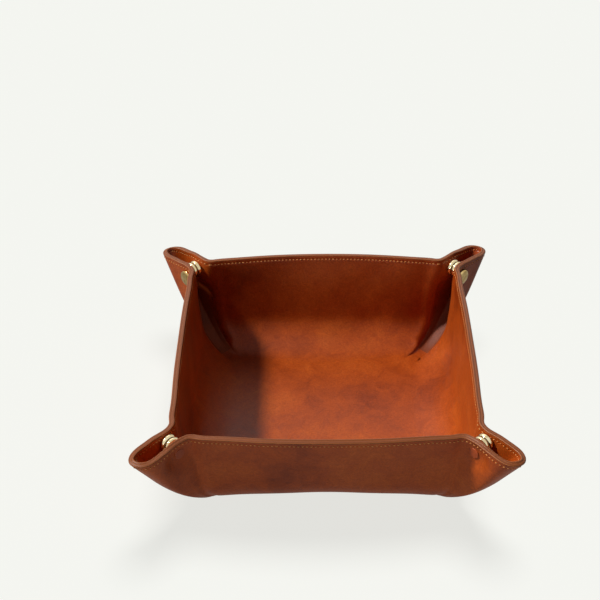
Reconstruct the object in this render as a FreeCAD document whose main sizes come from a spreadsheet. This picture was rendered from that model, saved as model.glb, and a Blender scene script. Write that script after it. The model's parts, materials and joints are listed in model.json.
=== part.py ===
import FreeCAD, Part
import math
import os
import Sketcher

# Leather valet tray: a square two-layer sheet whose four corners are pinched into ears
# and held by press studs. Millimetres, +Z up, origin on the table under the middle of the base.

doc = FreeCAD.newDocument("ValetTray")
sheet = doc.addObject("Spreadsheet::Sheet", "sizes")

# Driving dimensions: alias, value, meaning
drivingSizes = [
    ("outerThick", 1.5, "thickness of the outer leather layer"),
    ("liningThick", 1.5, "thickness of the lining layer"),
    ("glueGap", 0.04, "glue film between the two layers"),
    ("floorHalf", 58.5, "half width of the flat part of the base"),
    ("cornerRadius", 11.0, "plan radius of the base corners"),
    ("foldRadius", 15.0, "outside radius of the fold from base to wall"),
    ("tipFoldRadius", 34.0, "outside radius of the fold along an ear's tip"),
    ("hingeAngle", 37.0, "degrees of the fold that stay with the base"),
    ("flareLong", 28.8, "reach of the front and back rims past the base, at mid wall"),
    ("flareSide", 23.7, "reach of the side rims past the base, at mid wall"),
    ("flareShoulder", 23.6, "reach of the rim past the base, where the wall ends"),
    ("shoulderLead", 2.5, "distance along the wall from there to the bend"),
    ("rimHeight", 58.0, "height of the rim at mid wall"),
    ("cornerDrop", 1.0, "fall of the rim from mid wall to the throats"),
    ("bendOut", 10.5, "place of the bend from wall to ear past the base, along the wall"),
    ("bendFlare", 23.3, "place of that bend past the base, across the wall"),
    ("bendPast", 0.42, "how far past the bend the wall's leather ends"),
    ("throatLead", 3.2, "distance along the diagonal from the bend to the ear's throat"),
    ("throatLength", 9.0, "length of the throat"),
    ("throatHalf", 8.7, "half width of the throat over the leather, were it not pinched"),
    ("earLead", 5.7, "distance from the throat to the straight part of the ear"),
    ("earLength", 5.0, "length of that straight part"),
    ("earHalf", 8.3, "half width of the ear over the leather"),
    ("roundLength", 9.1, "length of the ear's round end"),
    ("tipDrop", 3.0, "fall of the rim from the throat to the ear's tip"),
    ("tipGap", 0.25, "half the gap between the two halves of an ear"),
    ("foldGap", 0.3, "gap between the base and the walls"),
    ("bendGap", 0.42, "gap between a wall and its ear, along the rim"),
    ("cornerRelief", 9.0, "most the wall is cut back beside the foot of an ear"),
    ("threadStop", 1.6, "where the stitches end before the ear's tip"),
    ("cornerGap", 1.0, "gap between the ear and the base corner"),
    ("gutterThinning", 0.5, "share of the leather squeezed away in the ear's gutter"),
    ("stitchDrop", 2.6, "distance of the stitches below the rim"),
    ("threadWidth", 0.6, "width of the thread"),
    ("threadThick", 0.4, "thickness of the thread"),
    ("threadLift", 0.2, "clearance of the thread over the leather"),
    ("studSetback", 4.7, "distance of the press studs past the start of the throat"),
    ("studDrop", 8.5, "distance of the press studs below the rim"),
    ("pinchDepth", 2.5, "how far a closed stud pulls the ear's leather in"),
    ("pinchSpread", 8.0, "reach of that pull round the stud"),
    ("innerSeat", 2.9, "seat of a snap flange on the lining, from the ear's middle"),
    ("outerSeat", 6.4, "seat of a snap cap on the outer leather, from the ear's middle"),
    ("seatClearance", 0.2, "clearance round a flange pressed into the leather"),
    ("postRadius", 1.6, "radius of the posts through the leather"),
    ("postClearance", 0.1, "clearance of a post in its hole"),
    ("capRadius", 5.1, "radius of the outside caps"),
    ("capRim", 0.5, "height of a cap's straight rim"),
    ("capDome", 1.3, "height of a cap's dome over its rim"),
    ("socketRadius", 5.0, "radius of the socket"),
    ("socketFlange", 0.6, "thickness of the socket's flange"),
    ("socketWall", 4.3, "radius of the socket's raised body"),
    ("socketBore", 2.15, "radius of the socket's mouth"),
    ("springGroove", 2.75, "radius of the groove for the ring spring"),
    ("grooveHeight", 0.9, "height of the groove for the ring spring"),
    ("springRadius", 2.35, "ring radius of the spring wire"),
    ("springWire", 0.3, "radius of the spring wire"),
    ("studFlangeRadius", 4.8, "radius of the stud's flange"),
    ("studFlange", 0.6, "thickness of the stud's flange"),
    ("studNeck", 1.7, "radius of the stud's neck"),
    ("studBead", 1.9, "radius of the stud's bead"),
    ("studTravel", 1.7, "reach of the stud past the ear's middle"),
    ("meetingGap", 0.3, "gap between socket and stud flange"),
    ("postHeadRadius", 4.6, "radius of the flat head behind the stud"),
    ("postHead", 0.8, "thickness of that head"),
]

# Sizes that follow from them: alias, formula, meaning
followingSizes = [
    ("rimMidLong", "=floorHalf + flareLong", "reach of the front and back rims at mid wall"),
    ("rimMidSide", "=floorHalf + flareSide", "reach of the side rims at mid wall"),
    ("rimShoulder", "=floorHalf + flareShoulder", "reach of the rim where the wall ends"),
    ("bendAlong", "=floorHalf + bendOut", "place of the bend along the wall"),
    ("bendReach", "=floorHalf + bendFlare", "place of the bend across the wall"),
    ("shoulderAlong", "=bendAlong - shoulderLead", "place along the wall where it ends"),
    ("cornerHeight", "=rimHeight - cornerDrop", "height of the rim at the throats"),
    ("tipHeight", "=cornerHeight - tipDrop", "height of the ear's tip"),
    ("throatStart", "=(bendAlong + bendReach) / sqrt(2) + throatLead", "start of the throat"),
    ("throatEnd", "=throatStart + throatLength", "end of the throat"),
    ("earStart", "=throatEnd + earLead", "where the ear has opened to its full width"),
    ("earRound", "=earStart + earLength", "where the ear's round end starts"),
    ("earTip", "=earRound + roundLength", "reach of the ear's tip along the diagonal"),
    ("studReach", "=throatStart + studSetback", "place of the press studs on the diagonal"),
    ("studHeight", "=cornerHeight - studDrop", "height of the press studs above the table"),
]
for row, (alias, value, meaning) in enumerate(drivingSizes + followingSizes, start=1):
    sheet.set("A%d" % row, meaning)
    sheet.set("B%d" % row, str(value))
    sheet.setAlias("B%d" % row, alias)
doc.recompute()
size = {alias: float(sheet.get(alias)) for alias, value, meaning in drivingSizes + followingSizes}

diagonal = math.sqrt(2.0)
leatherThick = size["outerThick"] + size["glueGap"] + size["liningThick"]
hingeReach = size["foldRadius"] * math.sin(math.radians(size["hingeAngle"]))


# Rim, foot and fold radius along half a wall and half an ear, as two curves of one parameter.
# A station is the rim point, then the foot's x and y and the fold radius.

def wallStation(share, rimMid):
    bow = share * share
    rim = FreeCAD.Vector(
        -share * size["shoulderAlong"],
        -rimMid + (rimMid - size["rimShoulder"]) * bow,
        size["rimHeight"] - (size["rimHeight"] - size["cornerHeight"]) * bow,
    )
    along = size["floorHalf"] - size["cornerRadius"]
    return rim, FreeCAD.Vector(-share * along, -size["floorHalf"], size["foldRadius"])


def cornerFoot(degrees):
    turn = math.radians(degrees)
    centre = size["floorHalf"] - size["cornerRadius"]
    growth = (size["tipFoldRadius"] - size["foldRadius"]) * degrees / 45.0
    return FreeCAD.Vector(
        -centre - size["cornerRadius"] * math.sin(turn),
        -centre - size["cornerRadius"] * math.cos(turn),
        size["foldRadius"] + growth,
    )


def earStation(reach, half, degrees):
    share = (reach - size["throatStart"]) / (size["earTip"] - size["throatStart"])
    height = size["cornerHeight"] - (size["cornerHeight"] - size["tipHeight"]) * share * share
    rim = FreeCAD.Vector(-(reach - half) / diagonal, -(reach + half) / diagonal, height)
    return rim, cornerFoot(degrees)


def rimStations(rimMid):
    rows = [wallStation(share, rimMid) for share in (0.0, 0.54, 0.87, 1.0)]
    bend = FreeCAD.Vector(-size["bendAlong"], -size["bendReach"], size["cornerHeight"])
    rows.append((bend, cornerFoot(1.0)))
    rows.append(earStation(size["throatStart"], size["throatHalf"], 4.0))
    rows.append(earStation(size["throatEnd"], size["throatHalf"], 10.0))
    rows.append(earStation(size["earStart"], size["earHalf"], 17.0))
    for turn, degrees in ((0.0, 25.0), (35.0, 35.0), (65.0, 41.0), (90.0, 45.0)):
        angle = math.radians(turn)
        reach = size["earRound"] + (size["earTip"] - size["earRound"]) * math.sin(angle)
        rows.append(earStation(reach, size["earHalf"] * math.cos(angle), degrees))
    return rows


def pinched(place):
    """A point of the ear, pulled toward the ear's middle round its press stud."""
    along = -(place.x + place.y) / diagonal - size["studReach"]
    away = math.hypot(along, place.z - size["studHeight"]) / size["pinchSpread"]
    pull = size["pinchDepth"] * math.exp(-away ** 3)
    return place + FreeCAD.Vector(-1.0, 1.0, 0.0) * pull / diagonal


class HalfWall:
    """Outer face from the middle of a wall to the tip of its ear, as rulings from foot to rim."""

    def __init__(self, rimMid):
        rows = rimStations(rimMid)
        rims = [row[0] for row in rows]
        feet = [row[1] for row in rows]
        lengths = [0.0]
        for before, after in zip(rims, rims[1:]):
            lengths.append(lengths[-1] + (after - before).Length)
        total = lengths[-1]
        self.rimLength = total
        self.marks = [length / total for length in lengths]
        self.wallEnd = (self.marks[4] * total + size["bendPast"]) / total
        towardTip = FreeCAD.Vector(-1.0, 1.0, 0.0) / diagonal
        lastTurn = size["cornerRadius"] * math.radians(4.0) / (1.0 - self.marks[-2])
        self.rim = Part.BSplineCurve()
        self.rim.interpolate(
            Points=rims,
            Parameters=self.marks,
            InitialTangent=FreeCAD.Vector((rims[1] - rims[0]).x / self.marks[1], 0, 0),
            FinalTangent=towardTip * total,
            Scale=False,
        )
        self.foot = Part.BSplineCurve()
        self.foot.interpolate(
            Points=feet,
            Parameters=self.marks,
            InitialTangent=FreeCAD.Vector((feet[1] - feet[0]).x / self.marks[1], 0, 0),
            FinalTangent=towardTip * lastTurn,
            Scale=False,
        )

    def ruling(self, u):
        rim = self.rim.value(u)
        foot = self.foot.value(u)
        radius = foot.z
        start = FreeCAD.Vector(foot.x, foot.y, 0.0)
        run = FreeCAD.Vector(rim.x - foot.x, rim.y - foot.y, 0.0)
        reach = run.Length
        rise = rim.z - radius
        sweep = math.atan2(rise, reach) + math.asin(radius / math.hypot(reach, rise))
        return start, run / reach, reach, rim.z, radius, sweep

    def lengths(self, u):
        """Length of the fold's arc and of the whole ruling."""
        start, direction, reach, height, radius, sweep = self.ruling(u)
        toCentre = math.hypot(reach, height - radius)
        straight = math.sqrt(toCentre * toCentre - radius * radius)
        return radius * sweep, radius * sweep + straight

    def point(self, u, v):
        """v is the share of the ruling's length, from 0 at the foot to 1 at the rim."""
        start, direction, reach, height, radius, sweep = self.ruling(u)
        arc, whole = self.lengths(u)
        angle = min(v * whole / radius, sweep)
        across = radius * math.sin(angle)
        up = radius * (1.0 - math.cos(angle))
        if v * whole > arc:
            share = (v * whole - arc) / (whole - arc)
            across += (reach - across) * share
            up += (height - up) * share
        return pinched(start + direction * across + FreeCAD.Vector(0, 0, up))

    def normal(self, u, v):
        step = 0.0001
        alongRim = self.point(min(u + step, 1.0), v) - self.point(max(u - step, 0.0), v)
        upWall = self.point(u, min(v + step, 1.0)) - self.point(u, max(v - step, 0.0))
        outward = upWall.cross(alongRim)
        return outward / outward.Length

    def layerPoint(self, u, v, depth):
        """A point at a depth below the outer face; the gutter's leather is squeezed thinner."""
        squeeze = ease((u - 0.70) / 0.05) * ease((v - 0.06) / 0.1) * ease((0.7 - v) / 0.3)
        thinned = depth * (1.0 - size["gutterThinning"] * squeeze)
        return self.point(u, v) - self.normal(u, v) * thinned

    def markForArc(self, u, across):
        """The v at which the fold has run a given distance out from the foot."""
        start, direction, reach, height, radius, sweep = self.ruling(u)
        return radius * math.asin(across / radius) / self.lengths(u)[1]

    def markForDrop(self, u, drop):
        """The v of the point a given distance below the rim along the ruling."""
        return 1.0 - drop / self.lengths(u)[1]


def ease(share):
    share = min(max(share, 0.0), 1.0)
    return share * share * (3.0 - 2.0 * share)


slopeWeights = {
    "first": (0, (-25, 48, -36, 16, -3)), "second": (-1, (-3, -10, 18, -6, 1)),
    "middle": (-2, (1, -8, 0, 8, -1)),
    "lastButOne": (-3, (-1, 6, -18, 10, 3)), "last": (-4, (3, -16, 36, -48, 25)),
}


def slope(points, k):
    """Slope at one of a row of evenly spaced points, from it and its four nearest neighbours."""
    end = len(points) - 1
    kind = {0: "first", 1: "second", end - 1: "lastButOne", end: "last"}.get(k, "middle")
    offset, weights = slopeWeights[kind]
    total = FreeCAD.Vector()
    for step, weight in enumerate(weights):
        total += points[k + offset + step] * weight
    return total / 12.0


def polesThrough(points):
    """Poles of a smooth cubic through the points: each inner point gets a handle on both sides."""
    handles = [slope(points, k) / 3.0 for k in range(len(points))]
    poles = [points[0], points[0] + handles[0]]
    for point, handle in zip(points[1:-1], handles[1:-1]):
        poles += [point - handle, point + handle]
    return poles + [points[-1] - handles[-1], points[-1]]


def splineFace(points):
    rows = [polesThrough(list(column)) for column in points]
    poles = [polesThrough(list(row)) for row in zip(*rows)]
    knots = [[float(k) for k in range(count)] for count in (len(points[0]), len(points))]
    counts = [[4] + [2] * (len(marks) - 2) + [4] for marks in knots]
    surface = Part.BSplineSurface()
    surface.buildFromPolesMultsKnots(
        poles, counts[0], counts[1], knots[0], knots[1], False, False, 3, 3
    )
    return surface


def thickSheet(outerPoints, innerPoints):
    """A closed solid between two grids of points with the same rows and columns."""
    outer = splineFace(outerPoints)
    inner = splineFace(innerPoints)
    faces = [outer.toShape(), inner.toShape()]
    u0, u1, v0, v1 = outer.bounds()
    a0, a1, b0, b1 = inner.bounds()
    borders = [
        (outer.uIso(u0), inner.uIso(a0)),
        (outer.uIso(u1), inner.uIso(a1)),
        (outer.vIso(v0), inner.vIso(b0)),
        (outer.vIso(v1), inner.vIso(b1)),
    ]
    for first, second in borders:
        faces.append(Part.makeRuledSurface(first.toShape(), second.toShape(), 1))
    shell = Part.makeShell(faces)
    shell.sewShape()
    solid = Part.makeSolid(shell)
    if solid.Volume < 0:
        solid.reverse()
    return solid


def evenly(first, last, count):
    return [first + (last - first) * k / (count - 1) for k in range(count)]


def reliefShare(up):
    """The ear's foot swings through the foot of the wall's edge, which is cut back there."""
    return ease((up + 0.09) / 0.165) * ease((0.46 - up) / 0.3)


wallRowCount = 11
earRowCount = 13


def wallGrid(half, depth, rowMarks, columns):
    """Points of a whole wall: the left half and its mirror image."""
    left = []
    for along in evenly(1.0, 0.0, columns):
        marks = rowMarks(along * half.wallEnd)
        column = []
        for row, v in enumerate(marks):
            up = row / (len(marks) - 1)
            relief = size["cornerRelief"] * reliefShare(up) if len(marks) == wallRowCount else 0.0
            u = along * (half.wallEnd - relief / half.rimLength)
            column.append(half.layerPoint(u, v, depth))
        left.append(column)
    right = [[FreeCAD.Vector(-p.x, p.y, p.z) for p in column] for column in reversed(left[:-1])]
    return left + right


def earGrid(half, depth, rowMarks, columns, firstMark, lastMark):
    aside = FreeCAD.Vector(1.0, -1.0, 0.0) * size["tipGap"] / diagonal
    grid = []
    for u in evenly(firstMark, lastMark, columns):
        grid.append([half.layerPoint(u, v, depth) + aside for v in rowMarks(u)])
    return grid


def wallRows(half):
    def marks(u):
        start, direction, reach, height, radius, sweep = half.ruling(u)
        across = (hingeReach + size["foldGap"] - (size["floorHalf"] + start.y)) / abs(direction.y)
        low = half.markForArc(u, across)
        return evenly(low, 1.0, wallRowCount)
    return marks


def earRows(half):
    """Rows from a line at one distance round the base's corner up to the rim."""
    centre = FreeCAD.Vector(1.0, 1.0, 0.0) * (size["cornerRadius"] - size["floorHalf"])
    clear = size["cornerRadius"] + hingeReach + size["cornerGap"]

    def marks(u):
        start, direction, reach, height, radius, sweep = half.ruling(u)
        arm = start - centre
        along = arm.dot(direction)
        across = math.sqrt(along * along - arm.dot(arm) + clear * clear) - along
        return evenly(half.markForArc(u, across), 1.0, earRowCount)
    return marks


def stitchRows(half):
    def marks(u):
        top = half.markForDrop(u, size["stitchDrop"] - size["threadWidth"] / 2)
        low = half.markForDrop(u, size["stitchDrop"] + size["threadWidth"] / 2)
        return evenly(low, top, 5)
    return marks


outerDepths = (0.0, size["outerThick"])
liningDepths = (size["outerThick"] + size["glueGap"], leatherThick)
threadDepths = (
    (-size["threadLift"] - size["threadThick"], -size["threadLift"]),
    (leatherThick + size["threadLift"], leatherThick + size["threadLift"] + size["threadThick"]),
)
wallColumns = 9
earColumns = 18


def wallLayer(half, depths, rows):
    near, far = [wallGrid(half, depth, rows, wallColumns) for depth in depths]
    return thickSheet(near, far)


def earLayer(half, depths, rows, stop=0.0):
    firstMark = half.wallEnd + size["bendGap"] / half.rimLength
    lastMark = 1.0 - stop / half.rimLength
    near, far = [earGrid(half, depth, rows, earColumns, firstMark, lastMark) for depth in depths]
    return thickSheet(near, far)


halfWalls = {"long": HalfWall(size["rimMidLong"]), "side": HalfWall(size["rimMidSide"])}


# Press-stud seats, cut into the ear leather of the front-left corner of a front wall

def studFrame():
    """Placement of a press stud: local +Z points out through the front wall's left ear."""
    outward = FreeCAD.Vector(1.0, -1.0, 0.0)
    centre = FreeCAD.Vector(
        -size["studReach"] / diagonal, -size["studReach"] / diagonal, size["studHeight"]
    )
    return FreeCAD.Placement(centre, FreeCAD.Rotation(FreeCAD.Vector(0, 0, 1), outward))


def studCylinder(radius, low, high):
    tool = Part.makeCylinder(radius, high - low, FreeCAD.Vector(0, 0, low))
    tool.Placement = studFrame().multiply(tool.Placement)
    return tool


def seatedEar(leather):
    aroundCap = size["capRadius"] + size["seatClearance"]
    hole = studCylinder(size["postRadius"] + size["postClearance"], 0, 2 * size["outerSeat"])
    inside = studCylinder(aroundCap, 0, size["innerSeat"])
    outside = studCylinder(aroundCap, size["outerSeat"], 2 * size["outerSeat"])
    return leather.cut([hole, inside, outside]).Solids


def part(name, solids, placement=None):
    """One sub-part as an object of the document, named after its file."""
    item = doc.addObject("Part::Feature", name)
    item.Label = name
    item.Shape = solids[0] if len(solids) == 1 else Part.makeCompound(solids)
    if placement is not None:
        item.Placement = placement
    return item


def mirrored(solids):
    return [solid.mirror(FreeCAD.Vector(0, 0, 0), FreeCAD.Vector(1, 0, 0)) for solid in solids]


subParts = []


# Base: a flat square with a curled border, all from planes and arcs

def curledProfile(reach, low, high):
    """Section of the border at a foot line: a ring sector that starts at the foot."""
    radius = size["foldRadius"]
    foot = FreeCAD.Vector(0, -reach, 0)
    turn = math.radians(size["hingeAngle"])

    def at(depth, angle):
        r = radius - depth
        return foot + FreeCAD.Vector(0, -r * math.sin(angle), radius - r * math.cos(angle))

    outerArc = Part.Arc(at(low, 0), at(low, turn / 2), at(low, turn)).toShape()
    innerArc = Part.Arc(at(high, turn), at(high, turn / 2), at(high, 0)).toShape()
    ends = [
        Part.LineSegment(at(low, turn), at(high, turn)).toShape(),
        Part.LineSegment(at(high, 0), at(low, 0)).toShape(),
    ]
    wire = Part.Wire(Part.__sortEdges__([outerArc, innerArc] + ends))
    return Part.Face(wire)


def baseLayer(low, high):
    half = size["floorHalf"]
    along = half - size["cornerRadius"]
    pieces = []
    plate = Part.makeBox(2 * half, 2 * half, high - low, FreeCAD.Vector(-half, -half, low))
    uprights = [edge for edge in plate.Edges if abs(edge.tangentAt(edge.FirstParameter).z) > 0.5]
    pieces.append(plate.makeFillet(size["cornerRadius"], uprights))
    side = curledProfile(half, low, high)
    corner = curledProfile(size["cornerRadius"], low, high)
    strip = side.extrude(FreeCAD.Vector(2 * along, 0, 0))
    strip.translate(FreeCAD.Vector(-along, 0, 0))
    turned = corner.revolve(FreeCAD.Vector(0, 0, 0), FreeCAD.Vector(0, 0, 1), -90)
    turned.translate(FreeCAD.Vector(-along, -along, 0))
    for quarter in range(4):
        for piece in (strip, turned):
            copy = piece.copy()
            copy.rotate(FreeCAD.Vector(0, 0, 0), FreeCAD.Vector(0, 0, 1), 90.0 * quarter)
            pieces.append(copy)
    joined = pieces[0].fuse(pieces[1:]).removeSplitter()
    return joined.Solids


subParts.append(part("base_outer", baseLayer(0.0, size["outerThick"])))
subParts.append(part("base_lining", baseLayer(size["outerThick"], leatherThick)))

# Walls and ears: made as the front wall, then turned to their side of the tray
wallSides = [("front", "long", 0), ("right", "side", 90), ("back", "long", 180), ("left", "side", 270)]
neighbours = {"front": ("left", "right"), "right": ("front", "back"),
              "back": ("right", "left"), "left": ("back", "front")}
layers = {}
for kind, half in halfWalls.items():
    wallLow = wallRows(half)
    earLow = earRows(half)
    stitches = stitchRows(half)
    layers[kind] = {
        "outer": [wallLayer(half, outerDepths, wallLow)],
        "lining": [wallLayer(half, liningDepths, wallLow)],
        "stitching": [wallLayer(half, depths, stitches) for depths in threadDepths],
        "ear_outer": seatedEar(earLayer(half, outerDepths, earLow)),
        "ear_lining": seatedEar(earLayer(half, liningDepths, earLow)),
        "ear_stitching": [
            earLayer(half, depths, stitches, size["threadStop"]) for depths in threadDepths
        ],
    }

for wall, kind, degrees in wallSides:
    turn = FreeCAD.Placement(FreeCAD.Vector(), FreeCAD.Rotation(FreeCAD.Vector(0, 0, 1), degrees))
    for layer in ("outer", "lining", "stitching"):
        subParts.append(part("%s_wall_%s" % (wall, layer), layers[kind][layer], turn))
        plain = layers[kind]["ear_" + layer]
        for side, solids in zip(neighbours[wall], (plain, mirrored(plain))):
            name = "%s_wall_%s_ear_%s" % (wall, side, layer)
            subParts.append(part(name, solids, turn))


# Press studs: turned brass parts, each drawn as half a section in the XZ plane.
# A profile is a closed list of (radius, height) texts made of sheet names.

def amount(text):
    total = 0.0
    sign = 1.0
    for word in text.split():
        if word in ("+", "-"):
            sign = 1.0 if word == "+" else -1.0
        else:
            total += sign * (size[word] if word in size else float(word))
    return total


def sheetText(text):
    return " ".join("sizes." + word if word in size else word for word in text.split())


def turnedPart(name, profile, placement):
    body = doc.addObject("PartDesign::Body", name)
    body.Label = name
    plane = [f for f in body.Origin.OriginFeatures if f.Role == "XZ_Plane"][0]
    sketch = body.newObject("Sketcher::SketchObject", name + "_section")
    sketch.AttachmentSupport = [(plane, "")]
    sketch.MapMode = "FlatFace"
    corners = [FreeCAD.Vector(amount(r), amount(z), 0) for r, z in profile]
    for index, corner in enumerate(corners):
        following = corners[(index + 1) % len(corners)]
        sketch.addGeometry(Part.LineSegment(corner, following), False)
    for index in range(len(corners)):
        nextLine = (index + 1) % len(corners)
        sketch.addConstraint(Sketcher.Constraint("Coincident", index, 2, nextLine, 1))
    for index, (radiusText, heightText) in enumerate(profile):
        for kind, text, value in (("DistanceX", radiusText, corners[index].x),
                                  ("DistanceY", heightText, corners[index].y)):
            if text == "0":
                axis = -2 if kind == "DistanceX" else -1
                sketch.addConstraint(Sketcher.Constraint("PointOnObject", index, 1, axis))
                continue
            number = sketch.addConstraint(Sketcher.Constraint(kind, -1, 1, index, 1, value))
            label = "%s%d" % ("radius" if kind == "DistanceX" else "height", index)
            sketch.renameConstraint(number, label)
            sketch.setExpression("Constraints." + label, sheetText(text))
    turning = body.newObject("PartDesign::Revolution", name + "_turning")
    turning.Profile = sketch
    turning.ReferenceAxis = (sketch, ["V_Axis"])
    turning.Angle = 360.0
    body.Placement = placement
    return body


capProfile = [
    ("0", "innerSeat - socketFlange"), ("postRadius", "innerSeat - socketFlange"),
    ("postRadius", "outerSeat"), ("capRadius", "outerSeat"), ("capRadius", "outerSeat + capRim"),
    ("capRadius - 1.5", "outerSeat + capRim + capDome - 0.35"),
    ("0", "outerSeat + capRim + capDome"),
]
socketProfile = [
    ("postRadius + postClearance", "innerSeat"), ("socketRadius", "innerSeat"),
    ("socketRadius", "innerSeat - socketFlange"), ("socketWall", "innerSeat - socketFlange"),
    ("socketWall", "0 - innerSeat + studFlange + meetingGap"),
    ("socketBore", "0 - innerSeat + studFlange + meetingGap"),
    ("socketBore", "0 - springWire - 0.1"),
    ("springGroove", "0 - springWire - 0.1"),
    ("springGroove", "grooveHeight - springWire - 0.1"),
    ("socketBore", "grooveHeight - springWire - 0.1"),
    ("socketBore", "innerSeat - socketFlange - 0.1"),
    ("postRadius + postClearance", "innerSeat - socketFlange - 0.1"),
]
studProfile = [
    ("0", "0 - innerSeat"), ("studFlangeRadius", "0 - innerSeat"),
    ("studFlangeRadius", "0 - innerSeat + studFlange"), ("studNeck", "0 - innerSeat + studFlange"),
    ("studNeck", "0 - 0.2"), ("studBead", "0.5"), ("studBead", "1.0"),
    ("studNeck", "studTravel"), ("0", "studTravel"),
]
postProfile = [
    ("0", "0 - outerSeat - postHead"), ("postHeadRadius", "0 - outerSeat - postHead"),
    ("postHeadRadius", "0 - outerSeat"), ("postRadius", "0 - outerSeat"),
    ("postRadius", "0 - innerSeat"), ("0", "0 - innerSeat"),
]

# Sockets sit on the side walls' ears and studs on the front and back walls' ears, so local +Z
# points out through the side wall's ear
corners = [("front_left", -1, -1), ("front_right", 1, -1), ("back_right", 1, 1), ("back_left", -1, 1)]
for corner, sideways, backward in corners:
    centre = FreeCAD.Vector(
        sideways * size["studReach"] / diagonal,
        backward * size["studReach"] / diagonal,
        size["studHeight"],
    )
    outward = FreeCAD.Vector(sideways, -backward, 0)
    place = FreeCAD.Placement(centre, FreeCAD.Rotation(FreeCAD.Vector(0, 0, 1), outward))
    subParts.append(turnedPart(corner + "_snap_cap", capProfile, place))
    subParts.append(turnedPart(corner + "_snap_socket", socketProfile, place))
    subParts.append(turnedPart(corner + "_snap_stud", studProfile, place))
    subParts.append(turnedPart(corner + "_snap_post", postProfile, place))
    spring = doc.addObject("Part::Torus", corner + "_snap_spring")
    spring.Label = corner + "_snap_spring"
    spring.setExpression("Radius1", "sizes.springRadius")
    spring.setExpression("Radius2", "sizes.springWire")
    spring.Placement = place
    subParts.append(spring)

doc.recompute()

for item in doc.Objects:
    if "Invalid" in item.State or "Error" in item.State:
        raise RuntimeError("%s did not build: %s" % (item.Label, item.State))
for item in subParts:
    if item.Shape.isNull() or not item.Shape.isValid():
        raise RuntimeError("%s has no valid shape" % item.Label)
    print("%-34s %2d solids %10.2f mm3" % (item.Label, len(item.Shape.Solids), item.Shape.Volume))

os.makedirs("parts", exist_ok=True)
for item in subParts:
    item.Shape.exportStep("parts/%s.step" % item.Label)
print(len(subParts), "parts written")
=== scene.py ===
import bmesh
import bpy
import json
import math
import numpy as np
from mathutils import Matrix, Vector

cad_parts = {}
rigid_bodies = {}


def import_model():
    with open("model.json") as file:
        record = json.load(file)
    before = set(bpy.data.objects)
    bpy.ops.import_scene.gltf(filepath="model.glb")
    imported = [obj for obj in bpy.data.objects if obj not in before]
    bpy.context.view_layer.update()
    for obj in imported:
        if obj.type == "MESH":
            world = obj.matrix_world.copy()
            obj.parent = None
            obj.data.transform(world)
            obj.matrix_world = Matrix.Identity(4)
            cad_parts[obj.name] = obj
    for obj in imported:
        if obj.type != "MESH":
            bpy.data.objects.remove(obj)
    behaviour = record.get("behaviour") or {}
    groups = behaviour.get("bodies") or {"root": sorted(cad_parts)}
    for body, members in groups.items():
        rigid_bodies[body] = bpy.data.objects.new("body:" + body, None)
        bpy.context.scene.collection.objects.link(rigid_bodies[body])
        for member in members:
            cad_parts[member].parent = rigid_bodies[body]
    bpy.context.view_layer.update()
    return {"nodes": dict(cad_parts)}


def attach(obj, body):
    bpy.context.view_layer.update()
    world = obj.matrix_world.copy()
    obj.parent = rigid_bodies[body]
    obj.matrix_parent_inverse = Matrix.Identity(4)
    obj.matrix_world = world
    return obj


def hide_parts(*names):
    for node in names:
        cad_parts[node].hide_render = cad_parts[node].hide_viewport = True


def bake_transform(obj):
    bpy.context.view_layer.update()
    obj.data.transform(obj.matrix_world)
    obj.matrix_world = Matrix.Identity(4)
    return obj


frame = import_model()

# Sizes in millimetres, as in the construction model; meshes are made in metres
metre = 0.001
root2 = math.sqrt(2.0)
mirrored = np.array([-1.0, 1.0, 1.0])  # turns a left half into a right one

# The sheet: where the rim stands and how high, how far the ears reach along the corners'
# diagonals, half the ears' widths, and the base's foot line, its bow and the hinge lines
shape = {
    "thick": 3.04, "floorHalf": 54.0, "footAlong": 47.0,
    "wallSplit": 36.0, "wallRadii": (34.0, 22.0), "rimShoulder": 82.1, "shoulderAlong": 66.5,
    "rimHeight": 58.0, "cornerHeight": 57.0, "bendAlong": 69.0, "bendReach": 81.8,
    "bendPast": 0.42, "throatStart": 109.8, "throatEnd": 118.8,
    "earStart": 124.5, "earRound": 129.5, "earTip": 138.6, "tipHeight": 54.0, "tipFootTurn": 0.8,
    "hingeLine": 67.53, "hingeRound": 20.0,
    "rimMid": {"front": 87.3, "back": 86.0, "left": 82.2, "right": 82.2},
    "footBow": {"front": 6.0, "back": 5.0, "left": 2.2, "right": 2.2},
    "shoulderIn": {"front": 0.0, "back": 0.0, "left": 0.7, "right": 0.7},
    "throatHalf": {"front": 8.7, "back": 8.5, "left": 6.6, "right": 6.6},
    "earHalf": {"front": 8.6, "back": 7.8, "left": 6.5, "right": 6.5},
}
# Dimple at each stud, by the distance from its centre
pinch = {"spread": 8.0, "reach": 113.4, "height": 48.0,
         "depth": {"front": 2.9, "back": 2.7, "left": 0.35, "right": 0.35}}
# Where a folded corner presses the leather thin, by u and v
gutter = {"thinning": 0.85, "start": 0.62, "ramp": 0.08, "low": -0.03, "lowRamp": 0.07,
          "high": 0.9, "highRamp": 0.25}
# Where the lining there gets painted shade: a dark colour mixed in by u and v
shadeZone = {"start": 0.66, "ramp": 0.14, "high": 0.88, "highRamp": 0.40}
# Section of the cut edge, and the stitches below it
rim = {"fillet": 0.62, "seamDrop": 0.2, "crownDrop": 0.05, "crownHalf": 0.45, "seamHalf": 0.2}
stitch = {"drop": 2.6, "pitch": 2.2, "length": 1.2, "width": 0.6, "thick": 0.36, "groove": 0.16,
          "grooveHalf": 0.62, "grooveBelow": 2.0}
# Unevenness of the leather, by height
unevenness = {"amount": 0.7, "low": 1.0, "lowRamp": 14.0, "high": 56.0, "highRamp": 12.0}
# Columns and rows of the meshes
detail = {"wallColumns": 44, "wallRows": 16, "earColumns": 56, "earRows": 22, "baseRows": 9,
          "floorRings": 10}

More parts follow.
